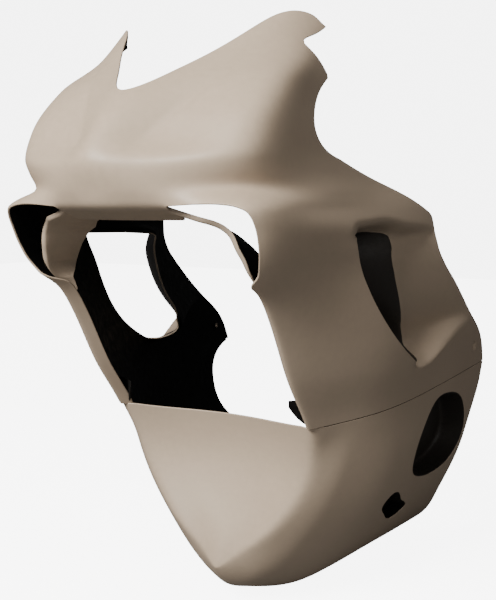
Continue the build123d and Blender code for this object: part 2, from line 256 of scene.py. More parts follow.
@dataclass
class Sheet:
    """A surface of small faces, to be trimmed and folded before it gets its thickness."""

    points: np.ndarray
    faces: list[list[int]]
    # shade marks where painted shade goes, and shaded notes the faces that take it
    shade: np.ndarray | None = None
    shaded: list[bool] = field(default_factory=list)

    @classmethod
    def from_grid(cls, grid: np.ndarray, flipped: bool = False) -> "Sheet":
        """A sheet over a grid of points, rows by columns by three."""
        rows, columns = grid.shape[:2]
        index = np.arange(rows * columns).reshape(rows, columns)
        quads = np.stack([index[:-1, :-1], index[:-1, 1:], index[1:, 1:], index[1:, :-1]], axis=-1)
        if flipped:
            quads = quads[..., ::-1]
        return cls(grid.reshape(-1, 3).copy(), quads.reshape(-1, 4).tolist())

    def weld(self, reach: float = 0.02) -> list[int]:
        """Joins points that lie on one another, and returns which faces are left."""
        keys = np.round(self.points / reach).astype(np.int64)
        _, first, back = np.unique(keys, axis=0, return_index=True, return_inverse=True)
        back = back.reshape(-1)
        self.points = self.points[first]
        joined, left = [], []
        for k, face in enumerate(self.faces):
            corners = [int(back[i]) for i in face]
            corners = [c for j, c in enumerate(corners) if c != corners[j - 1]]
            if len(set(corners)) >= 3:
                joined.append(corners)
                left.append(k)
        self.faces = joined
        return left

    def edges(self) -> tuple[np.ndarray, np.ndarray]:
        """Each edge once, and how many faces use it."""
        pairs = [pair for face in self.faces for pair in zip(face, face[1:] + face[:1])]
        return np.unique(np.sort(np.array(pairs), axis=1), axis=0, return_counts=True)

    def clip(self, keep: np.ndarray) -> None:
        """Cuts away where keep is negative. The new edge lies where it passes nought.

        Args:
            keep: One value for each point.
        """
        keep = keep.astype(float).copy()
        points = self.points.copy()
        edges, _ = self.edges()
        a, b = edges.T
        across = (keep[a] >= 0) != (keep[b] >= 0)
        a, b = a[across], b[across]
        share = keep[a] / (keep[a] - keep[b])
        moved = set()
        for p, q, t in zip(a, b, share):
            for near, far, part in ((p, q, t), (q, p, 1 - t)):
                if part < SNAP and near not in moved:
                    step = self.points[far] - self.points[near]
                    points[near] = self.points[near] + step * part
                    moved.add(near)
        for i in moved:
            keep[i] = 0.0
        fresh, made, faces = [], {}, []
        for face in self.faces:
            out = []
            for i, j in zip(face, face[1:] + face[:1]):
                if keep[i] >= 0:
                    out.append(i)
                if (keep[i] > 0 and keep[j] < 0) or (keep[i] < 0 and keep[j] > 0):
                    key = (min(i, j), max(i, j))
                    if key not in made:
                        t = keep[i] / (keep[i] - keep[j])
                        made[key] = len(points) + len(fresh)
                        fresh.append(points[i] + (points[j] - points[i]) * t)
                    out.append(made[key])
            if len(out) >= 3 and any(i >= len(points) or keep[i] > 0 for i in out):
                faces.append(out)
        self.points = np.vstack([points, fresh]) if fresh else points
        self.faces = faces
        self.tidy()

    def part(self) -> None:
        """Splits the faces where the painted-shade mark passes nought and notes those above it, which
        get painted shade.
        """
        halves = []
        for turn in (1, -1):
            half = Sheet(self.points.copy(), [list(face) for face in self.faces])
            half.clip(self.shade * turn)
            halves.append(half)
        count = len(halves[0].points)
        shaded = [True] * len(halves[0].faces) + [False] * len(halves[1].faces)
        self.points = np.vstack([half.points for half in halves])
        self.faces = halves[0].faces + [[i + count for i in face] for face in halves[1].faces]
        self.shaded = [shaded[k] for k in self.weld(0.004)]

    def tidy(self) -> None:
        """Drops points that no face uses."""
        used = np.unique(np.concatenate([np.array(f) for f in self.faces]))
        back = np.full(len(self.points), -1)
        back[used] = np.arange(len(used))
        self.points = self.points[used]
        self.faces = [[int(back[i]) for i in face] for face in self.faces]

    def relax(self, weight: np.ndarray, turns: int) -> None:
        """Evens the sheet out towards each point's neighbours; an edge point follows its edge.

        Args:
            weight: How much each point may move, from nought to one.
            turns: How often.
        """
        edges, uses = self.edges()
        rim = np.zeros(len(self.points), bool)
        rim[edges[uses == 1].ravel()] = True
        both = np.vstack([edges, edges[:, ::-1]])
        along = np.concatenate([uses == 1, uses == 1])
        both = both[(along | ~rim[both[:, 0]]) & (weight[both[:, 0]] > 0.001)]
        loose = np.unique(both[:, 0])
        back = np.searchsorted(loose, both[:, 0])
        count = np.bincount(back, minlength=len(loose))[:, None]
        share = weight[loose][:, None] * PACE
        for _ in range(turns):
            near = self.points[both[:, 1]]
            total = np.column_stack([np.bincount(back, near[:, k], len(loose)) for k in range(3)])
            self.points[loose] += (total / count - self.points[loose]) * share

    def normals(self, turns: int = 2) -> np.ndarray:
        """Normals of the points, evened out a few times with those of their neighbours."""
        normals = np.zeros_like(self.points)
        for size in {len(f) for f in self.faces}:
            index = np.array([f for f in self.faces if len(f) == size])
            corners = self.points[index]
            area = np.zeros((len(index), 3))
            for k in range(1, size - 1):
                area += np.cross(corners[:, k] - corners[:, 0], corners[:, k + 1] - corners[:, 0])
            for k in range(size):
                np.add.at(normals, index[:, k], area)
        normals = unit(normals)
        edges, _ = self.edges()
        for _ in range(turns):
            total = normals * 2
            np.add.at(total, edges[:, 0], normals[edges[:, 1]])
            np.add.at(total, edges[:, 1], normals[edges[:, 0]])
            normals = unit(total)
        return normals

    def rim_loops(self) -> list[list[int]]:
        """The sheet's open edges as closed runs of points, in the faces' own turn."""
        seen = {pair for face in self.faces for pair in zip(face, face[1:] + face[:1])}
        follow: dict[int, list[int]] = {}
        for a, b in sorted(seen):
            if (b, a) not in seen:
                follow.setdefault(a, []).append(b)
        loops = []
        while follow:
            start = after = next(iter(follow))
            loop = []
            while after in follow:
                loop.append(after)
                ahead = follow[after].pop()
                if not follow[after]:
                    del follow[after]
                after = ahead
                if after == start:
                    break
            if after == start:
                loops.append(loop)
        return loops

    def laminate(self, name: str, thickness: float = WALL,
                 roll: float = 1.0) -> bpy.types.Object:
        """Gives the sheet its thickness with a rounded rim and makes the object.

        Args:
            name: The object's name.
            thickness: How thick the laminate is, in mm, on the side away from the normals.
            roll: How far the rounded rim stands out from the trimmed edge, in mm.

        Returns:
            The object, in the frame's metres.
        """
        normals = self.normals()
        count = len(self.points)
        points = [self.points, self.points - normals * thickness]
        turned = [normals, -normals]
        faces = [list(f) for f in self.faces]
        faces += [[i + count for i in f[::-1]] for f in self.faces]
        kinds = [Face.OUTER.value] * len(self.faces) + [Face.INNER.value] * len(self.faces)
        # faces in the vents' throats take painted shade, a dark copy of the gel coat
        for k, dark in enumerate(self.shaded):
            if dark:
                kinds[k] = Face.THIN.value
        total = 2 * count
        for loop in self.rim_loops():
            if len(loop) < 3:
                continue
            spots, lift = self.points[loop], normals[loop]
            along = np.roll(spots, -1, axis=0) - np.roll(spots, 1, axis=0)
            out = unit(np.cross(along, lift))
            rings = [np.array(loop)]
            for angle in np.radians(RIM_TURNS).tolist():
                sink = thickness * (1 - math.cos(angle)) / 2
                points.append(spots - lift * sink + out * roll * math.sin(angle))
                turned.append(lift * math.cos(angle) + out * math.sin(angle))
                rings.append(total + np.arange(len(loop)))
                total += len(loop)
            rings.append(np.array(loop) + count)
            for near, far in zip(rings, rings[1:]):
                strip = [np.roll(near, -1), near, far, np.roll(far, -1)]
                faces += np.stack(strip, axis=1).tolist()
                kinds += [Face.RIM.value] * len(loop)
        return new_object(name, np.vstack(points), faces, kinds, np.vstack(turned))


def new_object(name: str, points: np.ndarray, faces: list[list[int]], kinds: list[int],
               normals: np.ndarray) -> bpy.types.Object:
    """Makes a mesh object.

    Args:
        name: The object's name.
        points: Its points, in the tools' millimetres.
        faces: Its faces, as rows of points.
        kinds: Which of the finishes each face shows.
        normals: The normal at each point.

    Returns:
        The object, in the frame's metres.
    """
    mesh = bpy.data.meshes.new(name)
    mesh.from_pydata(((points + np.array(TOOL_SHIFT)) / MM_PER_M).tolist(), [], faces)
    mesh.polygons.foreach_set("material_index", kinds)
    mesh.polygons.foreach_set("use_smooth", [True] * len(faces))
    mesh.validate()
    mesh.update()
    if len(mesh.vertices) == len(normals):
        mesh.normals_split_custom_set_from_vertices(normals.tolist())
    obj = bpy.data.objects.new(name, mesh)
    bpy.context.scene.collection.objects.link(obj)
    log.info("made %s with %d faces", name, len(faces))
    return obj


def dressed(obj: bpy.types.Object, finishes: Finishes) -> bpy.types.Object:
    """Gives an object its finishes and sets it riding on the fairing's only body."""
    for finish in finishes:
        obj.data.materials.append(finish)
    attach(obj, ROOT)
    return obj


# Finishes


@dataclass
class Recipe:
    """A node tree being built, with the steps that the finishes and the backdrop share."""

    tree: bpy.types.NodeTree

    def fill(self, node: bpy.types.Node, inputs: dict[str, Any]) -> bpy.types.Node:
        """Sets a node's inputs.

        Args:
            node: The node.
            inputs: By name, a constant or the other node's output that feeds the input.

        Returns:
            The node.
        """
        for key, value in inputs.items():
            if isinstance(value, Socket):
                self.tree.links.new(value, node.inputs[key])
            else:
                node.inputs[key].default_value = value
        return node

    def place(self) -> Socket:
        """Where on the object a point lies."""
        return self.tree.nodes.new("ShaderNodeTexCoord").outputs["Object"]

    def seen(self) -> Socket:
        """One where the camera looks straight at a point, otherwise nought."""
        return self.tree.nodes.new("ShaderNodeLightPath").outputs["Is Camera Ray"]

    def noise(self, where: Socket, scale: float, detail: float) -> Socket:
        """A noise texture's value at a scale, in waves to the metre."""
        node = self.tree.nodes.new("ShaderNodeTexNoise")
        inputs = {"Vector": where, "Scale": scale, "Detail": detail}
        return self.fill(node, inputs).outputs["Fac"]

    def edges(self, where: Socket, scale: float) -> Socket:
        """The distance to the edges of a cell pattern, in cells to the metre."""
        node = self.tree.nodes.new("ShaderNodeTexVoronoi")
        node.feature = "DISTANCE_TO_EDGE"
        return self.fill(node, {"Vector": where, "Scale": scale}).outputs["Distance"]

    def spread(self, value: Socket, low: float, high: float,
               to_low: float, to_high: float) -> Socket:
        """A value stretched from one range to another."""
        node = self.tree.nodes.new("ShaderNodeMapRange")
        inputs = {"Value": value, "From Min": low, "From Max": high,
                  "To Min": to_low, "To Max": to_high}
        return self.fill(node, inputs).outputs["Result"]

    def mix(self, factor: Any, first: Any, second: Any, mode: str = "MIX") -> Socket:
        """Two colours brought together by a factor."""
        node = self.tree.nodes.new("ShaderNodeMix")
        node.data_type = "RGBA"
        node.blend_type = mode
        return self.fill(node, {"Factor": factor, "A": first, "B": second}).outputs["Result"]

    def bump(self, height: Socket, strength: float, distance: float) -> Socket:
        """The normal of a surface roughened by a height, in metres."""
        node = self.tree.nodes.new("ShaderNodeBump")
        inputs = {"Height": height, "Strength": strength, "Distance": distance}
        return self.fill(node, inputs).outputs["Normal"]


@dataclass(frozen=True)
class Finish:
    """A look that a surface can have."""

    def inputs(self, recipe: Recipe) -> dict[str, Any]:
        """What the main shader's inputs are set to, by name."""
        raise NotImplementedError

    def material(self, name: str) -> bpy.types.Material:
        """Builds the finish as a material.

        Args:
            name: The material's name.

        Returns:
            The material.
        """
        material = bpy.data.materials.new(name)
        material.use_nodes = True
        recipe = Recipe(material.node_tree)
        recipe.fill(recipe.tree.nodes["Principled BSDF"], self.inputs(recipe))
        return material


@dataclass(frozen=True)
class GelCoat(Finish):
    """Bare gel-coat: a satin taupe skin with a soft mottle and the tool's fine ripple."""

    colour: Row = (0.45, 0.352, 0.258)
    worn: Row = (0.39, 0.30, 0.218)
    roughness: float = 0.52
    mottle_scale: float = 9.0
    grain_scale: float = 120.0
    ripple_scale: float = 260.0
    ripple: float = 0.05
    ripple_height: float = 0.0006

    def inputs(self, recipe: Recipe) -> dict[str, Any]:
        """What the main shader's inputs are set to, by name."""
        where = recipe.place()
        mottle = recipe.noise(where, self.mottle_scale, 5.0)
        grain = recipe.noise(where, self.grain_scale, 6.0)
        ripple = recipe.noise(where, self.ripple_scale, 3.0)
        worn = recipe.spread(mottle, 0.35, 0.8, 0.0, 0.45)
        tone = recipe.mix(worn, (*self.colour, 1), (*self.worn, 1))
        speck = recipe.spread(grain, 0.3, 0.7, 0.86, 1.0)
        rough = self.roughness
        return {
            "Base Color": recipe.mix(0.35, tone, speck, "MULTIPLY"),
            "Roughness": recipe.spread(grain, 0.3, 0.7, rough - 0.05, rough + 0.08),
            "Coat Weight": 0.06,
            "Coat Roughness": 0.35,
            "Normal": recipe.bump(ripple, self.ripple, self.ripple_height),
        }


@dataclass(frozen=True)
class Laminate(Finish):
    """The inner side of the mouldings: near-black resin over chopped fibre."""

    colour: Row = (0.0035, 0.003, 0.0027)
    fibre: Row = (0.008, 0.007, 0.006)
    roughness: float = 0.62
    strand_scale: float = 90.0
    cell_scale: float = 55.0
    cell_height: float = 0.0012

    def inputs(self, recipe: Recipe) -> dict[str, Any]:
        """What the main shader's inputs are set to, by name."""
        where = recipe.place()
        strands = recipe.noise(where, self.strand_scale, 8.0)
        bare = recipe.spread(strands, 0.45, 0.75, 0.0, 1.0)
        rough = self.roughness
        return {
            "Base Color": recipe.mix(bare, (*self.colour, 1), (*self.fibre, 1)),
            "Roughness": recipe.spread(strands, 0.3, 0.7, rough - 0.1, rough + 0.15),
            "Specular IOR Level": 0.12,
            "Normal": recipe.bump(recipe.edges(where, self.cell_scale), 0.35, self.cell_height),
        }


@dataclass(frozen=True)
class Ground(Finish):
    """A plain pale studio floor that looks as white as the backdrop and lights little."""

    colour: Row = (0.9, 0.9, 0.9)
    seen_glow: float = 7.5
    cast_shade: float = 0.12

    def inputs(self, recipe: Recipe) -> dict[str, Any]:
        """What the main shader's inputs are set to, by name."""
        seen = recipe.seen()
        return {
            "Base Color": recipe.spread(seen, 0.0, 1.0, self.cast_shade, self.colour[0]),
            "Roughness": 0.9,
            "Emission Color": (*self.colour, 1),
            "Emission Strength": recipe.spread(seen, 0.0, 1.0, 0.0, self.seen_glow),
        }


# Upper moulding


@dataclass
class UpperMoulding:
    """Nose, intake hoods and side panels, in mm.

    Ribs are rows of (z, x, y) on the rider's left. Edges are seen from the side, as rows of
    (y, z), or those of the screen, the mouth and the nose's crease from the front, as (x, z).
    """

    ribs: Ribs = (
        ((-190, 0, -235), (-60, 0, -290), (60, 0, -340), (144, 0, -357), (162, 0, -364),
         (195, 0, -374), (240, 0, -346), (284, 0, -301), (340, 0, -218), (402, 0, -120)),
        ((-190, 84, -196), (-60, 88, -262), (60, 92, -322), (144, 82, -336), (162, 74, -343),
         (195, 56, -354), (220, 50, -331), (260, 70, -293), (300, 95, -250), (340, 120, -190),
         (402, 135, -112)),
        ((-190, 152, -104), (-150, 158, -124), (-80, 161, -172), (0, 160, -221), (38, 162, -249),
         (54, 168, -276), (78, 181, -288), (110, 187, -301), (142, 183, -315), (152, 176, -305),
         (166, 170, -270), (186, 170, -284), (205, 171, -292), (240, 171, -279), (300, 167, -223),
         (345, 156, -150), (402, 152, -84)),
        ((-190, 186, -46), (-150, 191, -58), (-80, 196, -106), (0, 192, -158), (38, 190, -186),
         (62, 194, -214), (90, 205, -228), (120, 209, -240), (146, 203, -236), (168, 193, -210),
         (205, 189, -216), (240, 187, -205), (300, 179, -150), (345, 170, -100), (402, 168, -40)),
        ((-190, 200, -20), (-150, 208, -20), (-80, 232, -20), (-40, 240, -20), (0, 243, -20),
         (60, 242, -20), (110, 236, -20), (140, 227, -20), (182, 210, -20), (240, 198, -14),
         (300, 188, -8), (402, 178, 20)),
        ((-190, 235, 130), (-140, 241, 130), (-60, 256, 130), (0, 259, 130), (60, 256, 130),
         (110, 250, 130), (140, 245, 130), (240, 222, 130), (402, 200, 130)),
        ((-190, 258, 392), (-100, 266, 392), (0, 270, 392), (110, 264, 392), (240, 240, 392),
         (402, 220, 392)),
    )
    foot: float = -190.0
    top: float = 402.0
    lip_height: float = 144.0
    lip_half_width: float = 82.0
    lip_return: float = 46.0
    lip_drop: float = 15.0
    lip_roll: float = 2.0
    nose_rear: float = -200.0
    panel_front: float = 160.0
    flange_width: float = 20.8
    flange_reach: float = 17.0
    flange_turn: Spot = (0.577, 0.817)
    flange_top: float = 47.0
    flange_fade: float = 10.0
    front_share: float = 2.0
    tail_share: float = 6.0
    seat: Spot = (316.0, -94.0)
    seat_radius: float = 9.5
    seat_depth: float = 4.6
    bore_radius: float = 3.25
    vent_front: Line = (
        (-112, 103), (-109, 95), (-91, 60), (-65, 20), (-30, -20), (21, -60), (75, -89))
    vent_rear: Line = (
        (75, -89), (92, -89), (110, -80), (116, -68), (111, -54), (97, -35), (80, -14),
        (59, 15), (40, 50), (33, 75), (40, 97))
    vent_top: Line = (
        (-120, 118), (-20, 124), (45, 117), (125, 110), (400, 90))
    vent_shelf: Line = (
        (-120, 60), (-30, -30), (21, -72), (75, -98), (112, -96), (167, -70), (218, -50),
        (286, -36), (400, -20))
    vent_depths: Line = (
        (-190, 50), (-45, 49), (-20, 42), (15, 35), (60, 31), (130, 28))
    vent_gap: float = 13.0
    vent_lap: float = 1.5
    vent_least: float = 8.0
    vent_ceiling: float = 130.0
    vent_edges: Spot = (4.0, 5.0)
    vent_spread: float = 0.5
    vent_edge: Line = (
        (370, -110), (275, -30), (231, 0), (193, 30), (157, 60), (133, 90), (125, 131))
    vent_runs: Line = ((-190, 12), (-40, 16), (15, 40), (130, 42))
    vent_slope: float = 0.64
    vent_brow: Line = (
        (36, 84), (33, 95), (16, 103), (-30, 106), (-80, 107), (-114, 104))
    screen_edge: Line = (
        (0, 284), (18, 289), (45, 310), (77, 340), (102, 370), (120, 389), (138, 396), (152, 393),
        (163, 381), (176, 368))
    mouth_edge: Line = (
        (82, 144), (118, 147), (160, 147), (182, 138), (187, 118), (186, 98), (181, 76),
        (172, 58), (160, 48))
    side_tail: Line = (
        (369, -127), (352, -90), (275, -30), (193, 30), (133, 90), (125, 131))
    side_top: Line = (
        (125, 131), (50, 160), (-27, 182), (-100, 204))
    side_scoop: Line = (
        (-100, 204), (-140, 218), (-158, 240), (-150, 268), (-97, 311))
    side_notch: Line = (
        (-97, 311), (-118, 334), (-134, 352), (-112, 364), (-68, 386), (-20, 412))
    seam_gap: float = 2.6
    nose_crease: Line = (
        (38, 208), (44, 217), (63, 247), (81, 277), (103, 309), (120, 331), (136, 357))
    crease_depth: float = 2.4
    crease_width: float = 9.0
    crease_band: Spot = (190.0, -100.0)
    side_span: Spot = (-125.0, 392.0)
    rear_from: float = 200.0
    # mesh steps at the screws, further forward and elsewhere, and where each step holds
    row_steps: Row = (1.7, 3.8, 5.2)
    column_steps: Row = (1.8, 4.2, 6.0)
    screw_reach: Spot = (16.0, 15.0)
    intake_band: Spot = (84.0, 210.0)
    forward_run: float = 290.0

    def section(self, height: float, shares: np.ndarray) -> np.ndarray:
        """The skin's outline at a height.

        Args:
            height: Z in mm.
            shares: Places on it, from -6 at the right tail through 0 at the nose to 6.

        Returns:
            One (x, y) for each share.
        """
        return mirrored(standing(self.ribs, height), shares)

    def share_of_front(self, height: float) -> float:
        """Where on the outline the side panel's front edge lies."""
        if height > self.flange_top + self.flange_fade:
            return self.front_share
        shares = np.linspace(1.2, 2.8, 161)
        x = self.section(height, shares)[:, 0]
        found = float(np.interp(self.panel_front, x, shares))
        part = float(eased(np.array((height - self.flange_top) / self.flange_fade)))
        return found * (1 - part) + self.front_share * part

    def heights(self) -> np.ndarray:
        """Rows of the sheet, closer together at the intakes and the rear screws."""

        def spacing(z: float) -> float:
            fine, middling, coarse = self.row_steps
            if abs(z - self.seat[1]) < self.screw_reach[1]:
                return fine
            low, high = self.intake_band
            return middling if low < z < high else coarse

        return graded(self.foot, self.top, (self.lip_height, self.flange_top), spacing)

    def grid(self) -> np.ndarray:
        """Points of the whole skin before trimming, rows by columns by three."""
        evenly = np.linspace(0, self.tail_share, 601)
        middle = self.section(0.0, evenly)
        run = np.concatenate([[0], np.cumsum(np.linalg.norm(np.diff(middle, axis=0), axis=1))])
        front = np.interp(self.front_share, evenly, run)
        seat = float(np.interp(self.seat[0], middle[300:, 1], run[300:]))

        def spacing(length: float) -> float:
            fine, middling, coarse = self.column_steps
            if abs(length - seat) < self.screw_reach[0]:
                return fine
            return middling if length < front + self.forward_run else coarse

        lengths = graded(0.0, float(run[-1]), (front,), spacing)
        shares = np.interp(lengths, run, evenly)
        behind = (shares - self.front_share) / (self.tail_share - self.front_share)
        rows = []
        for z in self.heights():
            edge = self.share_of_front(float(z))
            moved = np.where(shares < self.front_share, shares * edge / self.front_share,
                             edge + behind * (self.tail_share - edge))
            both = np.concatenate([-moved[:0:-1], moved])
            outline = self.section(float(z), both)
            rows.append(np.column_stack([outline, np.full(len(both), z)]))
        return np.array(rows)

    @cached_property
    def half_widths(self) -> np.ndarray:
        """Half widths of the skin's side, heights by places along it."""
        places = np.linspace(*self.side_span, 131)
        table = []
        for height in np.linspace(self.foot, self.top, 149):
            half = self.section(float(height), np.linspace(1.9, self.tail_share, 160))
            table.append(np.interp(places, half[:, 1], half[:, 0]))
        return np.array(table)

    def side_x(self, y: np.ndarray, z: np.ndarray) -> np.ndarray:
        """Half width of the skin at places on its side."""
        t = self.half_widths
        rows, columns = t.shape[0] - 1, t.shape[1] - 1
        front, rear = self.side_span
        u = np.clip((z - self.foot) / (self.top - self.foot) * rows, 0, rows - 0.001)
        v = np.clip((y - front) / (rear - front) * columns, 0, columns - 0.001)
        i, j = u.astype(int), v.astype(int)
        a, b = u - i, v - j
        return ((1 - a) * (1 - b) * t[i, j] + (1 - a) * b * t[i, j + 1]
                + a * (1 - b) * t[i + 1, j] + a * b * t[i + 1, j + 1])

    def trim(self, sheet: Sheet) -> None:
        """Cuts the sheet to its outlines."""
        p = sheet.points
        seam = Seam()
        sheet.clip(p[:, 2] - seam.height(p[:, 1]) - self.seam_gap / 2)
        outline = drawn(self.side_tail) + drawn(self.side_top)
        outline += drawn(self.side_scoop) + drawn(self.side_notch)
        outline += [(-20, 440), (-460, 440), (-460, -260), (369, -260)]
        sheet.clip(-outside(sheet.points[:, 1:], outline))
        hole = drawn([(-x, z) for x, z in self.screen_edge[:0:-1]] + list(self.screen_edge))
        hole += [(210, 368), (210, 440), (-210, 440), (-210, 368)]
        sheet.clip(outside(sheet.points[:, ::2], hole))
        inner = self.panel_front - self.flange_reach
        below = self.lip_height - self.lip_return
        half = [(self.lip_half_width, below)] + drawn(self.mouth_edge)
        half += [(inner, 40), (inner, -260)]
        opening = half + [(-x, z) for x, z in half[::-1]]
        p = sheet.points
        keep = np.where(p[:, 1] < 0, outside(p[:, ::2], opening), UNCUT)
        sheet.clip(keep)
        sheet.clip(outside(sheet.points[:, 1:], self.slit()))
        distance = np.hypot(sheet.points[:, 1] - self.seat[0], sheet.points[:, 2] - self.seat[1])
        sheet.clip(distance - self.bore_radius)

    def slit(self) -> list[Spot]:
        """The band behind the vent's front edge where the skin parts from the louvre's floor."""
        front = np.array(drawn(self.vent_front))
        along = unit(np.gradient(front, axis=0))
        width = self.vent_gap * np.sin(np.linspace(0.02, 0.985, len(front)) * math.pi) ** 0.35
        rear = front + np.column_stack([-along[:, 1], along[:, 0]]) * width[:, None]
        return [tuple(p) for p in front] + [tuple(p) for p in rear[::-1]]

    def fold(self, sheet: Sheet) -> None:
        """Turns the trimmed sheet in at the lip, front flanges, vents and screw seats."""
        p = sheet.points
        x, y, z = p.T.copy()
        sign = np.where(x < 0, -1.0, 1.0)
        reach = np.abs(x)
        # lip under the nose
        lip = (z < self.lip_height) & (reach < self.lip_half_width + 1.5) & (y < self.nose_rear)
        drop = (self.lip_height - z)[lip] / self.lip_return
        shares = np.linspace(-1.4, 1.4, 281)
        edge = self.section(self.lip_height, shares)
        p[lip, 1] = np.interp(x[lip], edge[:, 0], edge[:, 1]) + drop * self.lip_return * 0.98
        p[lip, 2] = self.lip_height - drop * self.lip_drop - self.lip_roll * eased(drop * 4)
        # soft creases of the nose
        top = (z > self.crease_band[0]) & (y < self.crease_band[1])
        line = np.array(drawn(self.nose_crease, 3))
        spots = np.column_stack([reach[top], z[top]])
        away = np.linalg.norm(spots[:, None, :] - line[None], axis=2)
        ends = np.sin(np.clip(away.argmin(axis=1) / (len(line) - 1), 0.0, 1.0) * math.pi) ** 0.7
        near = np.exp(-((away.min(axis=1) / self.crease_width) ** 2))
        p[top, 1] += self.crease_depth * ends * near
        # return flanges
        turned = (z < self.flange_top + 3) & (reach < self.panel_front) & (y < 0)
        heights = np.linspace(self.foot, self.flange_top + 6, 60)
        fronts = [self.section(h, np.array([self.share_of_front(h)]))[0, 1]
                  for h in heights.tolist()]
        inward = (self.panel_front - reach[turned]) * self.flange_width / self.flange_reach
        p[turned, 0] = sign[turned] * (self.panel_front - inward * self.flange_turn[0])
        p[turned, 1] = np.interp(z[turned], heights, fronts) + inward * self.flange_turn[1]
        # heat vents
        side = (y > self.side_span[0]) & (z < self.vent_ceiling)
        p[side], shade = self.vented(p[side])
        # painted shade: faces deep in the vents' throats later get a dark copy of the gel coat
        sheet.shade = np.full(len(p), -SHADE_REACH)
        sheet.shade[side] = shade
        # dished seats of the rear screws
        far = np.hypot(y - self.seat[0], z - self.seat[1])
        slope = (far - self.bore_radius) / (self.seat_radius - self.bore_radius)
        p[:, 0] -= sign * np.where(y > self.rear_from, self.seat_depth * (1 - eased(slope)), 0.0)

    def vented(self, p: np.ndarray) -> tuple[np.ndarray, np.ndarray]:
        """Turns the side in where the louvre runs under the skin.

        Args:
            p: Points of the side.

        Returns:
            The moved points, and how far each lies inside the louvre's throat, in mm, which marks
            where painted shade goes.
        """
        x, y, z = p.T
        sign = np.sign(x)
        top_y, top_z = zip(*self.vent_top)
        shelf_y, shelf_z = zip(*self.vent_shelf)
        edge_y, edge_z = np.array(self.vent_edge[::-1]).T
        front_y, front_z = np.array(drawn(self.vent_front)[::-1]).T
        rear_y, rear_z = np.array(drawn(self.vent_rear)).T
        front = np.interp(z, front_z, front_y)
        rear = np.maximum(np.interp(z, rear_z, rear_y), front + self.vent_gap + self.vent_least)
        edge = np.interp(z, edge_z[::-1], edge_y[::-1])
        fade = 1 - np.clip((y - rear) / (edge - rear), 0, 1)
        depth = glide(*zip(*self.vent_depths), z) * fade
        above, below = [edge + self.vent_spread * depth for edge in self.vent_edges]
        window = eased((glide(top_y, top_z, y) - z) / above)
        window = window * eased((z - glide(shelf_y, shelf_z, y)) / below)
        start = front + self.vent_gap - self.vent_lap
        part = np.clip((rear - y) / np.maximum(rear - start, 1.0), 0, 1)
        behind = y > front + self.vent_lap
        inside = behind & (window > 0.02)
        depth, part = np.where(inside, depth, 0.0), np.where(inside, part, 0.0)
        moved = p.copy()
        run = glide(*zip(*self.vent_runs), z)
        moved[:, 0] -= sign * window * (depth + part * run * self.vent_slope)
        moved[:, 1] -= part * window * (run - (rear - start))
        # mark of the painted shade: how far inside the vent's mouth a point lies
        mouth = drawn(self.vent_front) + drawn(self.vent_rear)[:-8] + drawn(self.vent_brow)
        throat = np.clip(-outside(p[:, 1:], mouth), -SHADE_REACH, SHADE_REACH)
        return moved, np.where(behind, throat, -SHADE_REACH)

    def build(self) -> Sheet:
        """The finished sheet of the skin."""
        sheet = Sheet.from_grid(self.grid())
        sheet.relax(np.full(len(sheet.points), 0.5), 3)
        self.trim(sheet)
        self.fold(sheet)
        x, y, z = sheet.points.T
        reach = np.abs(x)
        near_lip = np.exp(-(((z - self.lip_height) / 6) ** 2)) * (reach < 84) * (y < self.nose_rear)
        near_edge = np.exp(-(((reach - self.panel_front) / 5) ** 2)) * (z < 60) * (y < 0)
        near_vent = 0.35 * ((y > -110) & (y < 300) & (z < 135) & (z > -125))
        near_vent *= np.hypot(y - self.seat[0], z - self.seat[1]) > 40
        sheet.relax(np.clip(near_lip + near_edge + near_vent, 0, 1), 4)
        sheet.part()
        return sheet

    def make(self, finishes: Finishes) -> bpy.types.Object:
        """Makes the moulding's object."""
        obj = self.build().laminate("upper_moulding")
        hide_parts("upper_fairing")
        return dressed(obj, finishes)


@dataclass
class Seam:
    """The joint between the mouldings, an arc seen from the side."""

    ends: Line = ((-140.0, -160.0), (120.0, -143.0), (369.0, -127.0))

    def height(self, y: np.ndarray) -> np.ndarray:
        """The seam's height at places along the fairing."""
        places, heights = zip(*self.ends)
        return np.polyval(np.polyfit(places, heights, 2), y)


@dataclass
class IntakeWall:
    """Inner wall of an intake, with its rolled front lip.

    The front rail is rows of (x, y, z) on the rider's left. The sweep says, at places on the
    rail, how far the wall runs inward and back from it.
    """

    side: Side
    front: tuple[Row, ...] = (
        (70, -331, 141.5), (80, -325, 137), (94, -316, 131.5), (116, -311, 125), (131, -299, 119),
        (141, -292, 110), (147, -286, 92), (151, -280, 80), (154, -274, 68), (157, -265, 57),
        (158.2, -253, 46), (158.6, -243, 36), (158.6, -236, 28))
    sweep: tuple[Row, ...] = (
        (0, -26, 54), (2, -30, 54), (3, -36, 56), (4.5, -36, 58), (6, -12, 62), (8, 0, 60),
        (9, -6, 44), (10, -10, 24), (12, -11, 15))
    lip: float = 7.0
    lip_fade: Spot = (7.0, 10.5)
    lip_shape: Spot = (0.8, 0.55)

    def make(self, finishes: Finishes) -> bpy.types.Object:
        """Makes the wall's object."""
        shares = np.linspace(0, len(self.front) - 1, 110)
        rail = fair(self.front, shares)
        place, inward, back = zip(*self.sweep)
        run = np.column_stack([np.interp(shares, place, inward), np.interp(shares, place, back),
                               0 * shares])
        ahead = unit(run)
        out = unit(np.cross(unit(np.gradient(rail, axis=0)), ahead))
        full, gone = self.lip_fade
        lip = self.lip * (1 - eased((shares - full) / (gone - full)))[:, None]
        proud, deep = self.lip_shape
        rows = [rail + out * lip * (1 - math.sin(angle)) * proud
                + ahead * lip * deep * (1 - math.cos(angle))
                for angle in np.linspace(0, math.pi / 2, 5)]
        rows += [rail + run * share for share in np.linspace(0.12, 1, 14)]
        grid = np.array(rows) * np.array([self.side.value, 1, 1])
        sheet = Sheet.from_grid(grid, flipped=self.side is Side.LEFT)
        obj = sheet.laminate(f"{self.side.name.lower()}_intake_wall", 2.4, 0.8)
        return dressed(obj, finishes)


# Belly pan


